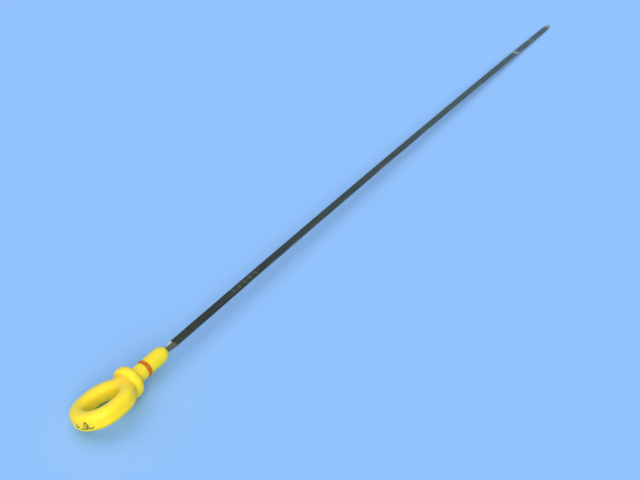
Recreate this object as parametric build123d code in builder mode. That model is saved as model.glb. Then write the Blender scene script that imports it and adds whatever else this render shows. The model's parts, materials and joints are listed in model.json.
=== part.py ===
from build123d import *
import os
from math import asin, atan2, degrees, hypot

# An engine oil dipstick, lying on a flat surface as it is laid down in use.
# Millimetres. X runs along the handle's axis from the finger loop to the blade's tip, Z is up.
# The collar's rim, the loop's far edge and the blade's tip stand on Z = 0.
# The origin is the middle of the length.

# Finger loop, an oval ring with a rounded section
loop_width = 33.7
loop_stretch = 4.9
loop_limb_width = 8.6
loop_thickness = 10.6
loop_limb_round = 3.6
loop_sink = 2.0
web_length = 3.0
web_sink = 0.8
web_land = 0.2

# Stop collar
collar_diameter = 19.8
collar_thickness = 6.3
collar_rim_round = 2.4
collar_root_round = 1.2

# Neck and sealing plug
plug_diameter = 10.0
neck_length = 9.2
plug_length = 16.6
nose_length = 5.0
nose_end_diameter = 7.0

# Sealing ring and its groove
ring_section = 2.0
ring_outer_diameter = 11.0
groove_side_clearance = 0.1
ring_seat_clearance = 0.05

# Blade, a steel strip held in the plug
blade_width = 5.8
blade_thickness = 1.1
tang_depth = 24.0
lock_hole_diameter = 2.4
lock_hole_inset = 5.0
twist_length = 9.0
blade_reach = 660.0
tip_width = 3.2
tip_taper = 13.0

# Level marks, V crimps pressed across the strip
full_mark_from_tip = 101.0
low_mark_from_tip = 58.0
crimp_length = 5.0
crimp_depth = 1.0

# Lengths along the axis
loop_length = loop_width + loop_stretch
groove_width = ring_section + 2 * groove_side_clearance
handle_length = loop_length - loop_sink + collar_thickness + neck_length + groove_width + plug_length
overall_length = handle_length + blade_reach

# Stations along the axis
front_x = -overall_length / 2
tip_x = overall_length / 2
collar_x = front_x + loop_length - loop_sink
web_x = collar_x - web_length
neck_x = collar_x + collar_thickness
groove_x = neck_x + neck_length
plug_x = groove_x + groove_width
nose_x = plug_x + plug_length
twist_end_x = nose_x + twist_length
axis_z = collar_diameter / 2

# The loop is wider than the collar, so the handle lies rolled until the loop's far edge touches down:
# the round of that edge, turned by the roll, is then tangent to the surface
edge_reach = loop_width / 2 - loop_limb_round
edge_height = loop_thickness / 2 - loop_limb_round
edge_drop = axis_z - loop_limb_round
roll = asin(edge_drop / hypot(edge_reach, edge_height)) - atan2(edge_height, edge_reach)
roll_angle = degrees(roll)

# The flat strip bends down in one long arc, from level at the twist to the surface at its tip
arc_reach = tip_x - twist_end_x
arc_drop = axis_z - blade_thickness / 2
lower_radius = (arc_reach**2 + arc_drop**2) / (2 * arc_drop)
upper_radius = lower_radius + blade_thickness
arc_centre_z = arc_drop - lower_radius

side_plane = Plane.XZ
handle_axis = Axis((0, 0, axis_z), (1, 0, 0))
loop_plane = Plane.XY.offset(axis_z).rotated((-roll_angle, 0, 0))


def strip_height(x, radius):
    """Height of the bent strip's face of the given bend radius at a station x."""
    return arc_centre_z + (radius**2 - (x - twist_end_x) ** 2) ** 0.5


def strip_face(radius):
    """Draw one long face of the strip's side view, with a V at each level mark."""

    def point(x, drop=0.0):
        return (x, strip_height(x, radius) - drop)

    def bend(start, end):
        ThreePointArc(point(start), point((start + end) / 2), point(end))

    run_start = twist_end_x
    for mark in (full_mark_from_tip, low_mark_from_tip):
        mark_x = tip_x - mark
        mark_start = mark_x - crimp_length / 2
        mark_end = mark_x + crimp_length / 2
        bend(run_start, mark_start)
        Polyline(point(mark_start), point(mark_x, crimp_depth), point(mark_end))
        run_start = mark_end
    bend(run_start, tip_x)


with BuildPart() as blade:
    # Flat run: the side view is a thin arc, and the pressed level marks show on both faces
    with BuildSketch(side_plane) as side:
        with BuildLine():
            for radius in (upper_radius, lower_radius):
                strip_face(radius)
            for x in (twist_end_x, tip_x):
                Line((x, strip_height(x, upper_radius)), (x, strip_height(x, lower_radius)))
        make_face()
    extrude(amount=blade_width / 2, both=True)
    # Tapered tip
    with BuildSketch(Plane.XY) as tip_cut:
        with BuildLine():
            Polyline(
                (tip_x - tip_taper, blade_width / 2),
                (tip_x, tip_width / 2),
                (tip_x, blade_width / 2),
                close=True,
            )
        make_face()
        mirror(about=Plane.XZ)
    extrude(amount=axis_z, mode=Mode.SUBTRACT)
    # The strip leaves the plug in the loop's plane and twists until it is level
    with BuildLine() as twist_path:
        Line((nose_x, 0, axis_z), (twist_end_x, 0, axis_z))
    with BuildLine(mode=Mode.PRIVATE) as twist_guide:
        Helix(
            pitch=twist_length * 360 / roll_angle,
            height=twist_length,
            radius=blade_width,
            center=(nose_x, 0, axis_z),
            direction=(1, 0, 0),
        )
    with BuildSketch(Plane.YZ.offset(nose_x)) as twist_section:
        with Locations((0, axis_z)):
            Rectangle(blade_width, blade_thickness, rotation=-roll_angle)
    sweep(path=twist_path.wire(), binormal=twist_guide.wire())
    # Tang, held in the plug and locked by the plastic that fills its hole
    with BuildSketch(loop_plane) as tang:
        with Locations((nose_x - tang_depth / 2, 0)):
            Rectangle(tang_depth, blade_width)
        with Locations((nose_x - tang_depth + lock_hole_inset, 0)):
            Circle(lock_hole_diameter / 2, mode=Mode.SUBTRACT)
    extrude(amount=blade_thickness / 2, both=True)

blade.part.label = "blade"

with BuildPart() as o_ring:
    with BuildSketch(side_plane) as ring_profile:
        with Locations(((groove_x + plug_x) / 2, axis_z + (ring_outer_diameter - ring_section) / 2)):
            Circle(ring_section / 2)
    revolve(axis=handle_axis)

o_ring.part.label = "o_ring"

with BuildPart() as handle:
    # Finger loop
    limb_reach = (loop_width - loop_limb_width) / 2
    front_centre_x = front_x + loop_width / 2
    back_centre_x = front_centre_x + loop_stretch
    with BuildLine(loop_plane) as limb_path:
        Line((front_centre_x, limb_reach), (back_centre_x, limb_reach))
        ThreePointArc(
            (back_centre_x, limb_reach), (back_centre_x + limb_reach, 0), (back_centre_x, -limb_reach)
        )
        Line((back_centre_x, -limb_reach), (front_centre_x, -limb_reach))
        ThreePointArc(
            (front_centre_x, -limb_reach), (front_centre_x - limb_reach, 0), (front_centre_x, limb_reach)
        )
    limb_start = loop_plane.from_local_coords((front_centre_x, limb_reach))
    with BuildSketch(Plane(limb_start, x_dir=loop_plane.y_dir, z_dir=loop_plane.x_dir)) as limb_section:
        RectangleRounded(loop_limb_width, loop_thickness, loop_limb_round)
    sweep(path=limb_path.wire())

    # Flared web, collar, neck, seal groove and plug, turned about the axis
    collar_radius = collar_diameter / 2
    plug_radius = plug_diameter / 2
    web_radius = loop_thickness / 2 - web_sink
    web_top_radius = collar_radius - collar_rim_round - web_land
    groove_radius = ring_outer_diameter / 2 - ring_section - ring_seat_clearance
    with BuildSketch(side_plane) as turned:
        with BuildLine():
            Polyline(
                (nose_x, axis_z + nose_end_diameter / 2),
                (nose_x, axis_z),
                (web_x, axis_z),
                (web_x, axis_z + web_radius),
            )
            TangentArc(
                (web_x, axis_z + web_radius),
                (collar_x, axis_z + web_top_radius),
                tangent=(1, 0),
            )
            Polyline(
                (collar_x, axis_z + web_top_radius),
                (collar_x, axis_z + collar_radius),
                (neck_x, axis_z + collar_radius),
                (neck_x, axis_z + plug_radius),
                (groove_x, axis_z + plug_radius),
                (groove_x, axis_z + groove_radius),
                (plug_x, axis_z + groove_radius),
                (plug_x, axis_z + plug_radius),
                (nose_x - nose_length, axis_z + plug_radius),
            )
            TangentArc(
                (nose_x - nose_length, axis_z + plug_radius),
                (nose_x, axis_z + nose_end_diameter / 2),
                tangent=(1, 0),
            )
        make_face()
        rim = turned.vertices().group_by(Axis.Y)[-1]
        fillet(rim, collar_rim_round)
        root = turned.vertices().sort_by_distance((neck_x, axis_z + plug_radius))[0]
        fillet(root, collar_root_round)
    revolve(axis=handle_axis)
    # The plastic is moulded round the strip's tang
    add(blade.part, mode=Mode.SUBTRACT)

handle.part.label = "handle"

os.makedirs("parts", exist_ok=True)
export_step(blade.part, "parts/blade.step")
export_step(o_ring.part, "parts/o_ring.step")
export_step(handle.part, "parts/handle.step")
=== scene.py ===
import json
import math
from functools import reduce

import bmesh
import bpy
import numpy as np
from bpy.props import FloatProperty, FloatVectorProperty, IntProperty, PointerProperty
from bpy.types import Operator, Panel, PropertyGroup
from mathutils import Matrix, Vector


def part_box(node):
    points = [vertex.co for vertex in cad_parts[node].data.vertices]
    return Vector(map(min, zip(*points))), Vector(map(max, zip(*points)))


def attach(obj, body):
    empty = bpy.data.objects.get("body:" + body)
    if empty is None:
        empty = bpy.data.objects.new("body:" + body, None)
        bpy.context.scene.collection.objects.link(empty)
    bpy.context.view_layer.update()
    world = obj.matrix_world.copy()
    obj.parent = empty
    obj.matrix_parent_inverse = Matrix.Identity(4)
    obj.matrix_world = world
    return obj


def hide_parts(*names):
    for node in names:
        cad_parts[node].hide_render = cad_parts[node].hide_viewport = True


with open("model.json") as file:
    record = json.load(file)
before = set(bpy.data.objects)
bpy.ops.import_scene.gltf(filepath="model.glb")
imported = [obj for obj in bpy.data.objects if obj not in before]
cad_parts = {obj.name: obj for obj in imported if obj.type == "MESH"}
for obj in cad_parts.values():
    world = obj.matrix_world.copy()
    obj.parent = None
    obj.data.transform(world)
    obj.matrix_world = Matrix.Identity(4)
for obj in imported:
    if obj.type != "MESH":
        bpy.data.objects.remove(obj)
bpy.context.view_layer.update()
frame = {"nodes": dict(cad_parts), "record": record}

bl_info = {
    "name": "Oil dipstick",
    "version": (1, 0, 0),
    "blender": (4, 5, 0),
    "location": "3D View > Sidebar > Dipstick",
    "description": "Dresses the packed dipstick: moulded handle, rubber seal, steel blade and a stage",
    "category": "Object",
}

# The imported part, in metres
HANDLE_LOW, HANDLE_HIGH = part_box("handle")
BLADE_LOW, BLADE_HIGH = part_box("blade")
SEAL_LOW, SEAL_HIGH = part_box("o_ring")
MOUNT_PLACES = {mount["name"]: mount["pos_m"] for mount in frame["record"]["mounts"]}
AXIS_Z = MOUNT_PLACES["guide_tube_plug"][2]
COLLAR_FRONT_X = MOUNT_PLACES["collar_seat"][0]
FRONT_X = HANDLE_LOW.x
NOSE_X = HANDLE_HIGH.x
TIP_X = BLADE_HIGH.x
SEAL_X = (SEAL_LOW.x + SEAL_HIGH.x) / 2
SEAL_RADIUS = (SEAL_HIGH.z - SEAL_LOW.z) / 2
SEAL_SECTION = (SEAL_HIGH.x - SEAL_LOW.x) / 2


class DipstickHandleSettings(PropertyGroup):
    """Sizes of the finger loop, as in the solid model, and the moulding's finish."""

    loop_width: FloatProperty(
        name="Loop width", description="Width of the finger loop across the axis",
        default=0.0337, unit="LENGTH")
    loop_stretch: FloatProperty(
        name="Loop stretch", description="How much longer the loop is than wide",
        default=0.0049, unit="LENGTH")
    loop_sink: FloatProperty(
        name="Loop sink", description="How far the loop runs into the collar",
        default=0.002, unit="LENGTH")
    thickness: FloatProperty(
        name="Loop thickness", description="Thickness of the loop across its plane",
        default=0.0106, unit="LENGTH")
    limb_round: FloatProperty(
        name="Limb round", description="Round of the limb's edges",
        default=0.0036, unit="LENGTH")
    skin_step: FloatProperty(
        name="Skin step", description="Mesh step of the moulding's even skin",
        default=0.0004, unit="LENGTH")
    web_reach: FloatProperty(
        name="Web reach", description="How far the soft web spreads from the collar's back",
        default=0.005, unit="LENGTH")
    web_passes: IntProperty(
        name="Web passes", description="Filling passes where the loop runs into the collar",
        default=220)
    colour: FloatVectorProperty(
        name="Plastic", description="Colour of the moulded plastic",
        default=(0.98, 0.72, 0.016), subtype="COLOR")
    scuffed: FloatVectorProperty(
        name="Scuffed plastic", description="Colour of scuffs and scratches in the plastic",
        default=(0.96, 0.78, 0.16), subtype="COLOR")
    # Colour of the painted shade in the recesses at the collar and by the seal groove
    recess_shade: FloatVectorProperty(
        name="Darkening", description="Colour of painted dirt in the recesses",
        default=(0.33, 0.17, 0.02), subtype="COLOR")


class DipstickSignSettings(PropertyGroup):
    """The sign printed on the loop's front wall: a drop over a wave, and two bars beside them."""

    turn: FloatProperty(
        name="Turn", description="Place of the sign round the loop, from the blade's side",
        default=math.radians(199.0), subtype="ANGLE")
    line_width: FloatProperty(
        name="Line width", description="Width of the printed lines",
        default=0.00052, unit="LENGTH")
    proud: FloatProperty(
        name="Proud", description="How far the ink stands proud of the wall",
        default=0.00005, unit="LENGTH")
    let_in: FloatProperty(
        name="Let in", description="How far the ink is let into the wall",
        default=0.00015, unit="LENGTH")
    drop_radius: FloatProperty(
        name="Drop radius", description="Radius of the drop's round part",
        default=0.00105, unit="LENGTH")
    drop_middle: FloatProperty(
        name="Drop middle", description="Height of the drop's round part above the wall's middle",
        default=0.00025, unit="LENGTH")
    drop_point: FloatProperty(
        name="Drop point", description="Height of the drop's point above the wall's middle",
        default=0.0024, unit="LENGTH")
    drop_shoulder: FloatProperty(
        name="Drop shoulder", description="Angle above level at which the drop's straight sides start",
        default=math.radians(28.0), subtype="ANGLE")
    wave_reach: FloatProperty(
        name="Wave reach", description="Half the wave's length",
        default=0.0038, unit="LENGTH")
    wave_pitch: FloatProperty(
        name="Wave pitch", description="Distance from one crest of the wave to the next",
        default=0.003307, unit="LENGTH")
    wave_height: FloatProperty(
        name="Wave height", description="Height of the wave's crests above its middle line",
        default=0.00038, unit="LENGTH")
    wave_level: FloatProperty(
        name="Wave level", description="Height of the wave's middle line above the wall's middle",
        default=-0.00175, unit="LENGTH")
    bar_foot: FloatProperty(
        name="Bar foot", description="Height of the bars' lower ends above the wall's middle",
        default=-0.0012, unit="LENGTH")
    colour: FloatVectorProperty(
        name="Sign ink", description="Colour of the printed sign",
        default=(0.025, 0.022, 0.016), subtype="COLOR")


class DipstickSealSettings(PropertyGroup):
    """The rubber sealing ring's mesh and finish."""

    turns: IntProperty(
        name="Facets round", description="Facets round the ring", default=160)
    section: IntProperty(
        name="Facets across", description="Facets round the ring's section", default=36)
    flash: FloatProperty(
        name="Flash", description="Height of the thin flash line round the ring",
        default=0.00003, unit="LENGTH")
    colour: FloatVectorProperty(
        name="Rubber", description="Colour of the rubber",
        default=(0.57, 0.125, 0.009), subtype="COLOR")
    dust: FloatVectorProperty(
        name="Dust", description="Colour of the specks of dust on the rubber",
        default=(0.62, 0.36, 0.16), subtype="COLOR")


class DipstickBladeSettings(PropertyGroup):
    """Sizes of the strip, as in the solid model, and the steel's finish."""

    width: FloatProperty(
        name="Width", description="Width of the strip",
        default=0.0058, unit="LENGTH")
    thickness: FloatProperty(
        name="Thickness", description="Thickness of the strip",
        default=0.0011, unit="LENGTH")
    edge_round: FloatProperty(
        name="Edge round", description="Round of the strip's edges",
        default=0.00025, unit="LENGTH")
    twist_length: FloatProperty(
        name="Twist length", description="Length of the twist after the plug",
        default=0.009, unit="LENGTH")
    tip_width: FloatProperty(
        name="Tip width", description="Width of the strip at its tip",
        default=0.0032, unit="LENGTH")
    tip_taper: FloatProperty(
        name="Tip taper", description="Length over which the tip narrows",
        default=0.013, unit="LENGTH")
    end_round: FloatProperty(
        name="End round", description="Length over which the tip's end is rounded",
        default=0.0008, unit="LENGTH")
    full_mark: FloatProperty(
        name="Full mark", description="Distance of the upper level mark from the tip",
        default=0.101, unit="LENGTH")
    low_mark: FloatProperty(
        name="Low mark", description="Distance of the lower level mark from the tip",
        default=0.058, unit="LENGTH")
    crimp_length: FloatProperty(
        name="Crimp length", description="Length of a pressed level mark",
        default=0.005, unit="LENGTH")
    crimp_depth: FloatProperty(
        name="Crimp depth", description="Depth of a pressed level mark",
        default=0.001, unit="LENGTH")
    tick_start: FloatProperty(
        name="Tick start", description="Distance of the first punched tick from the plug",
        default=0.069, unit="LENGTH")
    tick_pitch: FloatProperty(
        name="Tick pitch", description="Distance from one punched tick to the next",
        default=0.006, unit="LENGTH")
    tick_count: IntProperty(
        name="Ticks", description="How many ticks are punched in the strip", default=5, min=1)
    tick_length: FloatProperty(
        name="Tick length", description="Length of a punched tick along the strip",
        default=0.0014, unit="LENGTH")
    tick_depth: FloatProperty(
        name="Tick depth", description="Depth of a punched tick",
        default=0.00012, unit="LENGTH")
    bare_length: FloatProperty(
        name="Bare length", description="Length of bare steel next to the plug",
        default=0.0088, unit="LENGTH")
    film_lead: FloatProperty(
        name="Film lead", description="How far above the upper level mark the oil film begins to show",
        default=0.030, unit="LENGTH")
    dark: FloatVectorProperty(
        name="Dark finish", description="Colour of the blued steel",
        default=(0.0145, 0.016, 0.006), subtype="COLOR")
    # The far run's painted reflection: a lighter, bluer grey
    far_sheen: FloatVectorProperty(
        name="Sheened steel", description="Colour of the far run, which is wiped often",
        default=(0.058, 0.084, 0.066), subtype="COLOR")
    rust: FloatVectorProperty(
        name="Rust", description="Colour of faint rust blotches",
        default=(0.060, 0.041, 0.020), subtype="COLOR")
    oil: FloatVectorProperty(
        name="Oil film", description="Tint of the oil film near the tip",
        default=(0.068, 0.068, 0.041), subtype="COLOR")
    bare: FloatVectorProperty(
        name="Bare steel", description="Colour of the bare steel",
        default=(0.18, 0.165, 0.073), subtype="COLOR")
    # Also the colour of the painted glint on the bare stretch's far side
    polish_and_glint: FloatVectorProperty(
        name="Polished steel", description="Colour of rubbed steel",
        default=(0.66, 0.66, 0.58), subtype="COLOR")


class DipstickStageSettings(PropertyGroup):
    """The floor, the lights and the camera."""

    floor: FloatVectorProperty(
        name="Floor", description="Colour of the floor",
        default=(0.265, 0.507, 0.955), subtype="COLOR")
    floor_reach: FloatProperty(
        name="Floor reach", description="Half the floor's side",
        default=60.0, unit="LENGTH")
    backdrop: FloatVectorProperty(
        name="Backdrop", description="Colour of the plain backdrop above the floor",
        default=(0.29, 0.546, 0.973), subtype="COLOR")
    sky: FloatVectorProperty(
        name="Sky", description="Colour of the soft light all round",
        default=(0.62, 0.80, 1.0), subtype="COLOR")
    sky_strength: FloatProperty(
        name="Sky strength", description="Strength of the soft light all round", default=0.295)
    key_towards: FloatVectorProperty(
        name="Key towards", description="Direction of the soft light overhead, seen from the part",
        default=(-0.12, 0.26, 1.0), subtype="DIRECTION")
    key_spread: FloatProperty(
        name="Key spread", description="How wide the soft light overhead looks",
        default=math.radians(84.0), subtype="ANGLE")
    key_colour: FloatVectorProperty(
        name="Key colour", description="Colour of the soft light overhead",
        default=(1.0, 0.93, 0.80), subtype="COLOR")
    key_strength: FloatProperty(
        name="Key strength", description="Strength of the soft light overhead", default=1.5)
    fill_towards: FloatVectorProperty(
        name="Fill towards", description="Direction of the soft light by the camera, seen from the part",
        default=(-0.82, -0.75, 0.66), subtype="DIRECTION")
    fill_spread: FloatProperty(
        name="Fill spread", description="How wide the soft light by the camera looks",
        default=math.radians(40.0), subtype="ANGLE")
    fill_colour: FloatVectorProperty(
        name="Fill colour", description="Colour of the soft light by the camera",
        default=(1.0, 0.91, 0.80), subtype="COLOR")
    fill_strength: FloatProperty(
        name="Fill strength", description="Strength of the soft light by the camera", default=2.8)
    camera_place: FloatVectorProperty(
        name="Camera place", description="Where the camera stands",
        default=(-0.5971, -0.2919, 0.3594), subtype="TRANSLATION")
    camera_pitch: FloatProperty(
        name="Camera pitch", description="How far the camera looks down",
        default=math.radians(33.45), subtype="ANGLE")
    camera_heading: FloatProperty(
        name="Camera heading", description="Turn of the camera from the part's +Y axis",
        default=math.radians(-58.55), subtype="ANGLE")
    sensor: FloatProperty(
        name="Sensor", description="Width of the camera's sensor, in millimetres",
        default=36.0, unit="CAMERA")
    lens: FloatProperty(
        name="Lens", description="Focal length of the camera, in millimetres",
        default=51.41, unit="CAMERA")


# Shader writing

class Wire:
    """One socket of a node tree. Expressions on wires and numbers add Math nodes."""

    def __init__(self, nodes, socket):
        self.nodes = nodes
        self.socket = socket

    def math(self, operation, *others):
        node = self.nodes.add("ShaderNodeMath", {"operation": operation}, {})
        for place, value in enumerate((self,) + others):
            self.nodes.feed(node.inputs[place], value)
        return Wire(self.nodes, node.outputs[0])

    def __add__(self, other):
        return self.math("ADD", other)

    __radd__ = __add__

    def __sub__(self, other):
        return self.math("SUBTRACT", other)

    def __rsub__(self, other):
        return (self * -1.0) + other

    def __mul__(self, other):
        return self.math("MULTIPLY", other)

    __rmul__ = __mul__

    def size(self):
        return self.math("ABSOLUTE")

    def root(self):
        return self.math("SQRT")

    def least(self, other):
        return self.math("MINIMUM", other)

    def most(self, other):
        return self.math("MAXIMUM", other)

    def ease(self, low, high):
        """0 at low, 1 at high, smooth between; low may be above high."""
        start, end = (0.0, 1.0) if low < high else (1.0, 0.0)
        node = self.nodes.add(
            "ShaderNodeMapRange", {"interpolation_type": "SMOOTHSTEP"},
            {"Value": self, "From Min": min(low, high), "From Max": max(low, high),
             "To Min": start, "To Max": end})
        return Wire(self.nodes, node.outputs["Result"])


class Nodes:
    """A node tree under construction."""

    def __init__(self, tree):
        self.tree = tree

    def add(self, kind, settings, sockets):
        """A node of a kind, with its settings set first and then its sockets' values or links."""
        node = self.tree.nodes.new(kind)
        for name, value in settings.items():
            setattr(node, name, value)
        for name, value in sockets.items():
            self.feed(node.inputs[name], value)
        return node

    def feed(self, socket, value):
        if isinstance(value, Wire):
            self.tree.links.new(value.socket, socket)
        else:
            socket.default_value = value

    def blend(self, amount, first, second):
        """A colour: first where amount is 0, second where it is 1."""
        node = self.add("ShaderNodeMix", {"data_type": "RGBA"}, {})
        self.feed(node.inputs[0], amount)
        for socket, value in ((node.inputs[6], first), (node.inputs[7], second)):
            self.feed(socket, value if isinstance(value, Wire) else (*value, 1.0))
        return Wire(self, node.outputs[2])


class Finish(Nodes):
    """A material under construction: one Principled shader and the nodes that feed it."""

    def __init__(self, name, **constants):
        self.material = bpy.data.materials.new(name)
        self.material.use_nodes = True
        super().__init__(self.material.node_tree)
        self.shader = self.tree.nodes["Principled BSDF"]
        for socket, value in constants.items():
            self.shader.inputs[socket.replace("_", " ")].default_value = value
        self.place = Wire(self, self.add("ShaderNodeTexCoord", {}, {}).outputs["Object"])
        split = self.add("ShaderNodeSeparateXYZ", {}, {"Vector": self.place})
        self.x, self.y, self.z = (Wire(self, split.outputs[axis]) for axis in "XYZ")

    def give(self, socket, value):
        self.feed(self.shader.inputs[socket], value)

    def noise(self, scale, detail, stretch=(1.0, 1.0, 1.0), shift=(0.0, 0.0, 0.0)):
        """Soft noise of 0 to 1, with its grain drawn out along the axes where stretch is small."""
        place = self.add("ShaderNodeMapping", {},
                         {"Vector": self.place, "Scale": stretch, "Location": shift})
        node = self.add("ShaderNodeTexNoise", {},
                        {"Vector": Wire(self, place.outputs[0]), "Scale": scale, "Detail": detail})
        return Wire(self, node.outputs["Fac"])

    def near(self, place, fade, core=0.0):
        """1 within core of a place along the axis, fading to 0 at fade from it."""
        return (self.x - place).size().ease(fade, core)

    def bump(self, height, depth):
        """Bump from a height of 0 to 1, depth in metres."""
        node = self.add("ShaderNodeBump", {}, {"Strength": 1.0, "Distance": depth, "Height": height})
        self.give("Normal", Wire(self, node.outputs["Normal"]))


def shade(colour, factor, lift=0.0):
    """A colour made darker or lighter all over, up to full strength."""
    return [min(channel * factor + lift, 1.0) for channel in colour]


def tint(colour, factors):
    """A colour with each channel scaled by its own factor."""
    return [channel * factor for channel, factor in zip(colour, factors)]


# Mesh helpers

def add_piece(name, mesh, material):
    """Links a mesh as a smooth-shaded piece that rides on the part."""
    piece = bpy.data.objects.new(name, mesh)
    bpy.context.scene.collection.objects.link(piece)
    mesh.materials.clear()
    mesh.materials.append(material)
    for polygon in mesh.polygons:
        polygon.use_smooth = True
    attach(piece, "root")
    return piece


def mesh_of_tubes(name, tubes=(), loops=()):
    """A mesh through rings of equally many points: tubes have capped ends, loops close on themselves."""
    points, faces = [], []
    for rings, closed in [(tube, False) for tube in tubes] + [(loop, True) for loop in loops]:
        first, count = len(points), len(rings[0])
        points.extend(point for ring in rings for point in ring)
        rows = [[first + i * count + k for k in range(count)] for i in range(len(rings))]
        spans = list(zip(rows, rows[1:] + rows[:1]))
        for near, far in spans if closed else spans[:-1]:
            for k in range(count):
                n = (k + 1) % count
                faces.append((near[k], near[n], far[n], far[k]))
        if not closed:
            faces.extend([rows[0][::-1], rows[-1]])
    mesh = bpy.data.meshes.new(name)
    mesh.from_pydata(points, [], faces)
    shape = bmesh.new()
    shape.from_mesh(mesh)
    bmesh.ops.recalc_face_normals(shape, faces=shape.faces)
    shape.to_mesh(mesh)
    shape.free()
    return mesh


# Places on the part

def loop_roll(handle):
    """Roll of the loop's plane about the axis, from the sizes, as in the solid model."""
    reach = handle.loop_width / 2 - handle.limb_round
    height = handle.thickness / 2 - handle.limb_round
    drop = AXIS_Z - handle.limb_round
    return math.asin(drop / math.hypot(reach, height)) - math.atan2(height, reach)


def collar_back_x(handle):
    """Place of the collar's back along the axis."""
    return FRONT_X + handle.loop_width + handle.loop_stretch - handle.loop_sink


def tick_places(blade):
    """Places along the strip of the short row of plain punched ticks."""
    return [NOSE_X + blade.tick_start + blade.tick_pitch * k for k in range(blade.tick_count)]


# Finishes

def plastic_finish(handle):
    """Yellow moulded plastic: fine grain, flow marks, scuffs, a parting line, and painted shade in the
    recesses.
    """
    finish = Finish("moulded_yellow", IOR=1.5, Specular_IOR_Level=0.3, Subsurface_Weight=1.0,
                    Subsurface_Radius=(1.0, 0.75, 0.25), Subsurface_Scale=0.005)
    roll = loop_roll(handle)
    lift = finish.z - AXIS_Z
    rise = lift * math.cos(roll) + finish.y * math.sin(roll)
    side = finish.y * math.cos(roll) - lift * math.sin(roll)
    radius = (finish.y * finish.y + lift * lift).root()
    cloud = finish.noise(55.0, detail=2.0)
    mottle = finish.noise(420.0, detail=4.0)
    grain = finish.noise(5200.0, detail=2.0)
    flow = finish.noise(160.0, detail=3.0, stretch=(0.25, 1.0, 1.0), shift=(0.3, 0.1, 0.2))
    rubs = finish.noise(900.0, detail=2.0, stretch=(0.12, 1.0, 1.0), shift=(1.3, 0.7, 0.4))
    cuts = finish.noise(700.0, detail=1.0, stretch=(1.0, 0.10, 0.5), shift=(2.3, 1.7, 0.9))
    scuff = rubs.ease(0.66, 0.74)
    scratch = cuts.ease(0.68, 0.72)
    # Painted shade darkens the collar's root, the corner behind the collar and the seal groove
    behind = 0.0003
    root = finish.near(COLLAR_FRONT_X, fade=0.0022) * radius.ease(0.0072, 0.0052)
    back = finish.near(collar_back_x(handle) - behind, fade=0.0026) * radius.ease(0.0098, 0.0070)
    groove = finish.near(SEAL_X, fade=0.0019, core=0.0010) * radius.ease(0.0053, 0.0046)
    shading = (root * 0.55).most(groove * 0.8).most(back * 0.35) * (0.35 + mottle)
    # The mould's parting line runs round the loop and along the plug's sides
    line = rise.size().ease(0.00018, 0.00006) * side.size().ease(0.0035, 0.0044)
    warm = finish.blend(cloud.ease(0.30, 0.72), handle.colour, tint(handle.colour, (0.975, 0.94, 0.8)))
    pale = finish.blend(flow.ease(0.52, 0.75) * 0.25, warm, shade(handle.colour, 1.02, 0.012))
    worn = finish.blend((scuff * 0.20).most(scratch * 0.16), pale, handle.scuffed)
    lined = finish.blend(line * 0.22, worn, shade(handle.colour, 0.72))
    # The recesses take the painted shade
    finish.give("Base Color", finish.blend(shading.least(0.6), lined, handle.recess_shade))
    finish.give("Roughness", 0.36 + cloud * 0.10 + scuff * 0.14 + scratch * 0.10 + shading * 0.12)
    finish.bump(grain * 0.10 + mottle * 0.12 + line * 0.6 - scratch * 0.25 - scuff * 0.06, 0.00012)
    return finish.material


def ink_finish(sign, handle):
    """Printed ink, worn thin in places so that the plastic shows through."""
    finish = Finish("sign_ink", IOR=1.45)
    wear = finish.noise(1600.0, detail=4.0, shift=(0.5, 0.2, 0.8))
    thin = wear.ease(0.56, 0.74) * 0.65
    finish.give("Base Color", finish.blend(thin, sign.colour, shade(handle.colour, 0.62)))
    finish.give("Roughness", 0.42 + wear * 0.2)
    return finish.material


def rubber_finish(seal):
    """Orange-brown rubber with a faint flash line and a dusty bloom."""
    finish = Finish("seal_rubber", IOR=1.5, Specular_IOR_Level=0.2)
    bloom = finish.noise(700.0, detail=4.0)
    specks = finish.noise(5200.0, detail=2.0, shift=(0.2, 0.4, 0.1)).ease(0.68, 0.76)
    flash = finish.near(SEAL_X, fade=0.00012, core=0.00004)
    tone = finish.blend(bloom.ease(0.35, 0.7), seal.colour, tint(seal.colour, (0.80, 0.72, 0.7)))
    dusty = finish.blend(specks * 0.25, tone, seal.dust)
    finish.give("Base Color", finish.blend(flash * 0.3, dusty, shade(seal.colour, 0.55)))
    finish.give("Roughness", 0.40 + bloom * 0.22)
    finish.bump(bloom * 0.2 + flash * 0.7 + specks * 0.3, 0.00006)
    return finish.material


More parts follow.
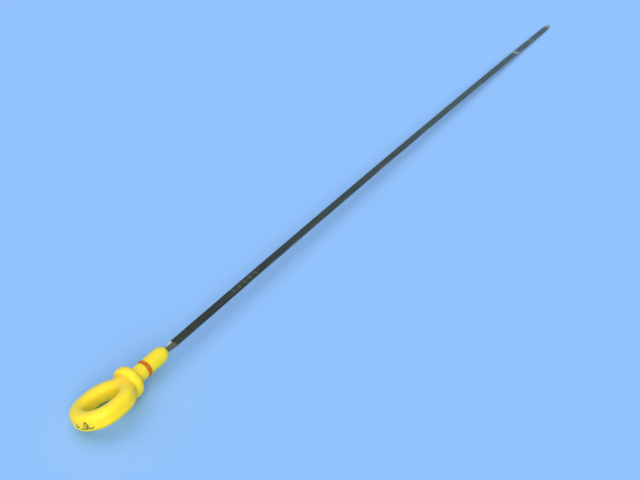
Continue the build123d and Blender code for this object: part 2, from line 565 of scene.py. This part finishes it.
def steel_finish(blade):
    """Blued strip steel: drawn grain, worn edges and marks, bare by the plug with a painted glint, oily at
    the tip, painted greyer along the far run as a painted reflection, and lighter at the tip's end, partly
    a painted highlight.
    """
    finish = Finish("blued_steel", IOR=1.6, Specular_IOR_Level=0.25)
    grain = finish.noise(9000.0, detail=3.0, stretch=(0.006, 1.0, 0.25))
    streak = finish.noise(2600.0, detail=2.0, stretch=(0.012, 1.0, 0.4), shift=(0.4, 0.2, 0.0))
    cloud = finish.noise(34.0, detail=3.0, stretch=(1.0, 3.0, 3.0), shift=(0.7, 0.1, 0.5))
    blotch = finish.noise(260.0, detail=4.0, stretch=(0.6, 1.0, 1.0), shift=(0.1, 0.6, 0.3))
    half = blade.width / 2
    taper_x = TIP_X - blade.tip_taper
    bare_x = NOSE_X + blade.bare_length
    film_x = TIP_X - blade.full_mark - blade.film_lead
    # Rubbed to a polish: the pressed marks, the long edges, a few streaks, and the tip's end, which is
    # partly a painted highlight
    mark_fade, mark_core = 0.55 * blade.crimp_length, 0.30 * blade.crimp_length
    full = finish.near(TIP_X - blade.full_mark, mark_fade, mark_core) * (0.10 + blotch * 0.5).least(1.0)
    low = finish.near(TIP_X - blade.low_mark, mark_fade, mark_core) * (0.02 + blotch * 0.3).least(1.0)
    # The tip's end is painted lighter: partly rubbed steel, partly a painted highlight
    end = finish.x.ease(taper_x + 0.001, taper_x + 0.008)
    run = finish.x.ease(taper_x + 0.002, taper_x - 0.002)
    edge = finish.y.size().ease(half - 0.0005, half - 0.0001) * run
    worn = edge * streak.ease(0.45, 0.70)
    rub = full.most(low * 0.7).most(end * 0.5).most(worn * 0.30).most(streak.ease(0.64, 0.80) * 0.20)
    # The oil film, the bare stretch by the plug with a painted glint along its far side, and the punched
    # ticks
    film = finish.x.ease(film_x - 0.02, film_x + 0.05) * (0.45 + cloud * 0.9).least(1.0)
    bare = finish.x.ease(bare_x + 0.0006, bare_x - 0.0006)
    glint = bare * finish.y.ease(0.0008, 0.0019) * finish.x.ease(NOSE_X + 0.001, NOSE_X + 0.006)
    tick_fade, tick_core = 0.55 * blade.tick_length, 0.40 * blade.tick_length
    spots = [finish.near(place, tick_fade, tick_core) for place in tick_places(blade)]
    tick = reduce(Wire.most, spots) * finish.y.size().ease(0.0017, 0.0014)
    # The far run is painted greyer and bluer towards the tip, a painted reflection of the surroundings
    sheen_start, sheen_end = -0.28, 0.22
    sheen = finish.x.ease(sheen_start, sheen_end) * (0.6 + cloud * 0.5).least(1.0)
    tone = cloud.ease(0.3, 0.7) * 0.5 + grain * 0.25
    toned = finish.blend(tone, blade.dark, shade(blade.dark, 1.9, 0.010))
    with_sheen = finish.blend(sheen, toned, blade.far_sheen)
    rusty = finish.blend(blotch.ease(0.50, 0.72) * 0.35, with_sheen, blade.rust)
    oiled = finish.blend(film * 0.4, rusty, blade.oil)
    rubbed = finish.blend(rub.least(0.9), oiled, blade.polish_and_glint)
    stripped = finish.blend(bare * (0.55 + grain * 0.4).least(0.95), rubbed, blade.bare)
    ticked = finish.blend(tick * 0.5, stripped, blade.bare)
    # Last, the painted glint along the bare stretch's far side
    finish.give("Base Color", finish.blend(glint * 0.9, ticked, blade.polish_and_glint))
    finish.give("Metallic", (0.30 + rub * 0.4).most(bare * 0.6).least(0.9))
    finish.give("Roughness", (0.44 + blotch * 0.12 - film * 0.14 - rub * 0.06 - bare * 0.06).most(0.22))
    finish.bump(grain * 0.30 + streak * 0.15, 0.00010)
    return finish.material


def floor_finish(stage):
    """Plain matt floor."""
    finish = Finish("studio_floor", Roughness=0.85, Specular_IOR_Level=0.1)
    finish.give("Base Color", (*stage.floor, 1.0))
    return finish.material


# Operators

class DIPSTICK_OT_handle(Operator):
    """Makes the moulded handle: an even skin over the solid, with a soft web between loop and collar."""

    bl_idname = "dipstick.handle"
    bl_label = "Moulded handle"

    # Softening of the even skin, and the fewest points that a sound skin has
    soften_factor = 0.5
    soften_passes = 6
    fewest_points = 5000
    # Share of the web's reach that is filled at full strength, and how far a point moves in one pass
    web_core = 0.6
    fill_share = 0.8

    def execute(self, context):
        handle = context.scene.dipstick_handle
        rough = bpy.data.objects.new("handle_rough", frame["nodes"]["handle"].data.copy())
        context.scene.collection.objects.link(rough)
        skin = rough.modifiers.new("even_skin", "REMESH")
        skin.mode = "VOXEL"
        skin.voxel_size = handle.skin_step
        soften = rough.modifiers.new("soften", "SMOOTH")
        soften.factor = self.soften_factor
        soften.iterations = self.soften_passes
        context.view_layer.update()
        mesh = bpy.data.meshes.new_from_object(rough.evaluated_get(context.evaluated_depsgraph_get()))
        bpy.data.objects.remove(rough)
        if len(mesh.vertices) < self.fewest_points:
            raise RuntimeError("the handle's even skin came out too coarse")
        self.soften_web(mesh, handle)
        piece = add_piece("handle_moulding", mesh, plastic_finish(handle))
        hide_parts("handle")
        return {"FINISHED"}

    def soften_web(self, mesh, handle):
        """Fills the corner between the loop and the collar's back, so they run into each other."""
        points = np.empty(len(mesh.vertices) * 3)
        mesh.vertices.foreach_get("co", points)
        points = points.reshape(-1, 3)
        edges = np.empty(len(mesh.edges) * 2, dtype=np.int64)
        mesh.edges.foreach_get("vertices", edges)
        edges = edges.reshape(-1, 2)
        away = np.abs(points[:, 0] - collar_back_x(handle)) / handle.web_reach
        weight = np.clip(1.0 + self.web_core - away, 0.0, 1.0)
        degree = np.bincount(edges.ravel(), minlength=len(points)).astype(float)[:, None]
        normals = np.empty_like(points)
        for _ in range(handle.web_passes):
            mesh.vertex_normals.foreach_get("vector", normals.ravel())
            total = np.zeros_like(points)
            np.add.at(total, edges[:, 0], points[edges[:, 1]])
            np.add.at(total, edges[:, 1], points[edges[:, 0]])
            outward = np.maximum(((total / degree - points) * normals).sum(1), 0.0)
            points += normals * (self.fill_share * weight * outward)[:, None]
            mesh.vertices.foreach_set("co", points.ravel())
            mesh.update()


class DIPSTICK_OT_sign(Operator):
    """Prints a plain drop over a wave, with two bars beside them, on the loop's front wall."""

    bl_idname = "dipstick.sign"
    bl_label = "Printed sign"

    # Mesh steps of the drop's round part, of its straight sides and of the wave
    round_steps = 22
    side_steps = 6
    wave_steps = 38
    # Each bar's place along the wall and its steps, and the height of a step
    bars = ((-0.0066, 10), (-0.0054, 6))
    bar_step = 0.00024

    def execute(self, context):
        handle, sign = context.scene.dipstick_handle, context.scene.dipstick_sign
        strokes = [self.wave(sign)]
        for place, steps in self.bars:
            strokes.append([(place, sign.bar_foot + self.bar_step * k) for k in range(steps + 1)])
        mesh = mesh_of_tubes("printed_sign", [self.ink(handle, sign, stroke) for stroke in strokes],
                             [self.ink(handle, sign, self.drop(sign), closed=True)])
        add_piece("printed_sign", mesh, ink_finish(sign, handle))
        return {"FINISHED"}

    def wave(self, sign):
        """Points along the wave, along the wall and up it."""
        places = np.linspace(-sign.wave_reach, sign.wave_reach, self.wave_steps + 1)
        return [(u, sign.wave_level + sign.wave_height * math.sin(2 * math.pi * u / sign.wave_pitch))
                for u in places]

    def drop(self, sign):
        """Points round the drop: its round part from right to left, and straight sides up to its point."""
        sweep = math.pi + 2 * sign.drop_shoulder
        outline = []
        for step in range(self.round_steps + 1):
            turn = sign.drop_shoulder - sweep * step / self.round_steps
            outline.append((sign.drop_radius * math.cos(turn),
                            sign.drop_middle + sign.drop_radius * math.sin(turn)))
        (right, shoulder), (left, _) = outline[0], outline[-1]
        shares = [k / self.side_steps for k in range(1, self.side_steps + 1)]
        sides = [(1.0 - share, shoulder + (sign.drop_point - shoulder) * share) for share in shares]
        outline += [(left * width, v) for width, v in sides]
        outline += [(right * width, v) for width, v in reversed(sides[:-1])]
        return outline

    def ink(self, handle, sign, stroke, closed=False):
        """Rings along one stroke, a thin layer that follows the wall and is let into it."""
        ends = (stroke[-1], stroke[0]) if closed else (stroke[0], stroke[-1])
        rings = []
        for (u, v), before, after in zip(stroke, [ends[0], *stroke[:-1]], [*stroke[1:], ends[1]]):
            along = Vector((after[0] - before[0], after[1] - before[1])).normalized()
            side = Vector((-along.y, along.x)) * (sign.line_width / 2)
            lanes = [(u + lane * side.x, v + lane * side.y) for lane in (-1.0, 0.0, 1.0)]
            rings.append([self.on_wall(handle, sign, *lane, sign.proud) for lane in lanes]
                         + [self.on_wall(handle, sign, *lane, -sign.let_in) for lane in reversed(lanes)])
        return rings

    @staticmethod
    def on_wall(handle, sign, u, v, proud):
        """Point proud of the loop's outer wall, u along it from the sign's middle and v up from its own."""
        roll = loop_roll(handle)
        across = Vector((0.0, math.cos(roll), -math.sin(roll)))
        up = Vector((0.0, math.sin(roll), math.cos(roll)))
        radius = handle.loop_width / 2
        centre = Vector((FRONT_X + radius, 0.0, AXIS_Z))
        turn = sign.turn + u / radius
        outward = Vector((math.cos(turn), 0.0, 0.0)) + across * math.sin(turn)
        flat = handle.thickness / 2 - handle.limb_round
        bend = max(abs(v) - flat, 0.0) / handle.limb_round
        inward = handle.limb_round * (1.0 - math.cos(bend))
        rise = math.copysign(min(abs(v), flat) + handle.limb_round * math.sin(bend), v)
        normal = outward * math.cos(bend) + up * math.copysign(math.sin(bend), v)
        return centre + outward * (radius - inward) + up * rise + normal * proud


class DIPSTICK_OT_seal(Operator):
    """Makes the rubber sealing ring, with a thin flash line round its outside."""

    bl_idname = "dipstick.seal"
    bl_label = "Rubber seal"

    # Sine of the angle that the flash line takes up to each side
    flash_span = 0.12

    def execute(self, context):
        seal = context.scene.dipstick_seal
        rings = [self.section(seal, 2 * math.pi * i / seal.turns) for i in range(seal.turns)]
        mesh = mesh_of_tubes("sealing_ring", loops=[rings])
        piece = add_piece("sealing_ring", mesh, rubber_finish(seal))
        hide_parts("o_ring")
        return {"FINISHED"}

    def section(self, seal, turn):
        """Ring of points round the rubber's section at a turn about the axis."""
        ring = []
        for k in range(seal.section):
            angle = 2 * math.pi * k / seal.section
            along, outward = math.sin(angle), math.cos(angle)
            reach = SEAL_SECTION - seal.flash
            if outward > 0.0:
                reach += seal.flash * max(0.0, 1.0 - abs(along) / self.flash_span)
            radius = SEAL_RADIUS - SEAL_SECTION + reach * outward
            ring.append((SEAL_X + SEAL_SECTION * along,
                         radius * math.cos(turn), AXIS_Z + radius * math.sin(turn)))
        return ring


class DIPSTICK_OT_blade(Operator):
    """Makes the steel strip with rounded edges, pressed level marks, punched ticks and a tapered tip."""

    bl_idname = "dipstick.blade"
    bl_label = "Steel blade"

    # Mesh steps along the stretches of the strip, and round each edge of its section
    twist_steps = 36
    run_steps = 219
    taper_steps = 29
    end_steps = 8
    mark_steps = 40
    edge_steps = 4
    # Shares of a level mark's length: the fine stretch to each side, and the round of the V's bottom
    mark_span = 0.7
    crimp_soft = 0.2
    # Shares of a tick's length: its floor's end, its rim, and what counts as inside
    tick_floor = 0.35
    tick_rim = 0.5
    tick_inside = 0.4
    # Shares of the flat's half width: the sides of a tick's floor and of its rim
    floor_side = 0.52
    rim_side = 0.62
    # The end's narrowing as a share of its round, its thinning as a share of the thickness,
    # and the largest edge round as a share of half the thickness
    end_narrowing = 0.75
    end_thinning = 0.3
    most_round = 0.9

    def execute(self, context):
        blade = context.scene.dipstick_blade
        roll = loop_roll(context.scene.dipstick_handle)
        rings = [self.section(blade, roll, x) for x in self.stations(blade)]
        mesh = mesh_of_tubes("steel_blade", [rings])
        piece = add_piece("steel_blade", mesh, steel_finish(blade))
        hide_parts("blade")
        return {"FINISHED"}

    def stations(self, blade):
        """Places along the strip, close together where its shape changes."""
        twist_x = NOSE_X + blade.twist_length
        taper_x = TIP_X - blade.tip_taper
        end_x = TIP_X - blade.end_round
        stretches = [(NOSE_X, twist_x, self.twist_steps), (twist_x, taper_x, self.run_steps),
                     (taper_x, end_x, self.taper_steps), (end_x, TIP_X, self.end_steps)]
        for mark in (blade.full_mark, blade.low_mark):
            reach = self.mark_span * blade.crimp_length
            stretches.append((TIP_X - mark - reach, TIP_X - mark + reach, self.mark_steps))
        places = {BLADE_LOW.x}
        for start, end, steps in stretches:
            places.update(np.linspace(start, end, steps + 1))
        for tick in tick_places(blade):
            for share in (self.tick_rim, self.tick_floor):
                places.update((tick - share * blade.tick_length, tick + share * blade.tick_length))
        return sorted(places)

    def section(self, blade, roll, x):
        """Ring of points round the strip at a place along it, turned by what is left of the twist."""
        left = (NOSE_X + blade.twist_length - x) / blade.twist_length
        turn = -roll * min(max(left, 0.0), 1.0)
        height = self.height(blade, x)
        return [(x, across * math.cos(turn) - up * math.sin(turn),
                 height + across * math.sin(turn) + up * math.cos(turn))
                for across, up in self.outline(blade, x)]

    def height(self, blade, x):
        """Height of the strip's middle: level to the twist's end, then an arc to the tip, with two Vs."""
        twist_x = NOSE_X + blade.twist_length
        drop = AXIS_Z - blade.thickness / 2
        reach = TIP_X - twist_x
        radius = (reach**2 + drop**2) / (2 * drop) + blade.thickness / 2
        run = max(x - twist_x, 0.0)
        height = AXIS_Z - radius + math.sqrt(radius**2 - run**2)
        for mark in (blade.full_mark, blade.low_mark):
            away = abs(x - (TIP_X - mark)) / (blade.crimp_length / 2)
            height -= blade.crimp_depth * max(0.0, 1.0 - self.soft(away) / self.soft(1.0))
        return height

    def soft(self, away):
        """A distance from the bottom of a V, rounded off near 0."""
        return math.hypot(away, self.crimp_soft) - self.crimp_soft

    def half_sizes(self, blade, x):
        """Half the strip's width and thickness, which go down over the tip's taper and its rounded end."""
        half_width = blade.width / 2
        half_thickness = blade.thickness / 2
        left = TIP_X - x
        if left < blade.tip_taper:
            half_width += (blade.tip_width - blade.width) / 2 * (1.0 - left / blade.tip_taper)
        if left < blade.end_round:
            fade = 1.0 - math.sqrt(max(1.0 - (1.0 - left / blade.end_round) ** 2, 0.0))
            half_width -= self.end_narrowing * blade.end_round * fade
            half_thickness -= self.end_thinning * blade.thickness * fade
        return half_width, half_thickness

    def outline(self, blade, x):
        """Points round the strip's rounded section, across it and up from its middle."""
        half_width, half_thickness = self.half_sizes(blade, x)
        corner = min(blade.edge_round, self.most_round * half_thickness)
        flat = half_width - corner
        inside = self.tick_inside * blade.tick_length
        punched = any(abs(x - tick) < inside for tick in tick_places(blade))
        floor = half_thickness - (blade.tick_depth if punched else 0.0)
        upper_face = ((self.rim_side, half_thickness), (self.floor_side, floor), (0.0, floor),
                      (-self.floor_side, floor), (-self.rim_side, half_thickness))
        outline = []
        for quarter, (side, face) in enumerate(((1, 1), (-1, 1), (-1, -1), (1, -1))):
            for step in range(self.edge_steps + 1):
                angle = math.pi / 2 * (quarter + step / self.edge_steps)
                outline.append((side * flat + corner * math.cos(angle),
                                face * (half_thickness - corner) + corner * math.sin(angle)))
            if quarter == 0:
                outline.extend((share * flat, up) for share, up in upper_face)
        return outline


class DIPSTICK_OT_stage(Operator):
    """Adds the floor, the soft lights, the sky and the camera."""

    bl_idname = "dipstick.stage"
    bl_label = "Stage"

    # Keeps the floor just clear of the part, and the camera's near limit short of it
    floor_gap = 0.00002
    clip_start = 0.01

    def execute(self, context):
        scene, stage = context.scene, context.scene.dipstick_stage
        self.floor(scene, stage)
        self.soft_light(scene, "overhead_light", Vector(stage.key_towards), stage.key_spread,
                        stage.key_colour, stage.key_strength)
        self.soft_light(scene, "camera_light", Vector(stage.fill_towards), stage.fill_spread,
                        stage.fill_colour, stage.fill_strength)
        self.sky(scene, stage)
        self.camera(scene, stage)
        scene.view_settings.view_transform = "Standard"
        return {"FINISHED"}

    def floor(self, scene, stage):
        reach = stage.floor_reach
        corners = [(-reach, -reach, 0.0), (reach, -reach, 0.0), (reach, reach, 0.0), (-reach, reach, 0.0)]
        mesh = bpy.data.meshes.new("floor")
        mesh.from_pydata(corners, [], [(0, 1, 2, 3)])
        mesh.materials.append(floor_finish(stage))
        floor = bpy.data.objects.new("floor", mesh)
        floor.location.z = -self.floor_gap
        scene.collection.objects.link(floor)

    @staticmethod
    def soft_light(scene, name, towards, spread, colour, strength):
        light = bpy.data.lights.new(name, "SUN")
        light.color = colour
        light.angle = spread
        light.energy = strength
        lamp = bpy.data.objects.new(name, light)
        lamp.location = towards
        lamp.rotation_euler = (-towards).to_track_quat("-Z", "Y").to_euler()
        scene.collection.objects.link(lamp)

    @staticmethod
    def sky(scene, stage):
        """Soft light all round, in whose place the camera and reflections see a plain backdrop."""
        world = bpy.data.worlds.new("soft_sky")
        world.use_nodes = True
        nodes = Nodes(world.node_tree)
        rays = nodes.add("ShaderNodeLightPath", {}, {})
        kinds = ("Is Camera Ray", "Is Glossy Ray", "Is Transmission Ray")
        seen = reduce(Wire.most, [Wire(nodes, rays.outputs[kind]) for kind in kinds])
        colour = nodes.blend(seen, shade(stage.sky, stage.sky_strength), stage.backdrop)
        nodes.feed(world.node_tree.nodes["Background"].inputs["Color"], colour)
        scene.world = world

    def camera(self, scene, stage):
        view = bpy.data.cameras.new("photo_view")
        view.sensor_fit = "HORIZONTAL"
        view.sensor_width = stage.sensor
        view.lens = stage.lens
        view.clip_start = self.clip_start
        camera = bpy.data.objects.new("photo_view", view)
        camera.location = stage.camera_place
        camera.rotation_euler = (math.pi / 2 - stage.camera_pitch, 0.0, stage.camera_heading)
        scene.collection.objects.link(camera)
        scene.camera = camera


class DIPSTICK_PT_panel(Panel):
    """Lists the pieces and their settings."""

    bl_idname = "DIPSTICK_PT_panel"
    bl_label = "Oil dipstick"
    bl_space_type = "VIEW_3D"
    bl_region_type = "UI"
    bl_category = "Dipstick"

    def draw(self, context):
        for operator, group, name in PIECES:
            box = self.layout.box()
            box.operator(operator.bl_idname)
            for setting in group.__annotations__:
                box.prop(getattr(context.scene, name), setting)


# Each operator, its settings and their name in the scene
PIECES = (
    (DIPSTICK_OT_handle, DipstickHandleSettings, "dipstick_handle"),
    (DIPSTICK_OT_sign, DipstickSignSettings, "dipstick_sign"),
    (DIPSTICK_OT_seal, DipstickSealSettings, "dipstick_seal"),
    (DIPSTICK_OT_blade, DipstickBladeSettings, "dipstick_blade"),
    (DIPSTICK_OT_stage, DipstickStageSettings, "dipstick_stage"),
)


def register():
    for operator, group, name in PIECES:
        bpy.utils.register_class(group)
        setattr(bpy.types.Scene, name, PointerProperty(type=group))
        bpy.utils.register_class(operator)
    bpy.utils.register_class(DIPSTICK_PT_panel)


def unregister():
    bpy.utils.unregister_class(DIPSTICK_PT_panel)
    for operator, group, name in reversed(PIECES):
        bpy.utils.unregister_class(operator)
        delattr(bpy.types.Scene, name)
        bpy.utils.unregister_class(group)


def main():
    register()
    bpy.ops.dipstick.handle()
    bpy.ops.dipstick.sign()
    bpy.ops.dipstick.seal()
    bpy.ops.dipstick.blade()
    bpy.ops.dipstick.stage()


if __name__ == "__main__":
    main()
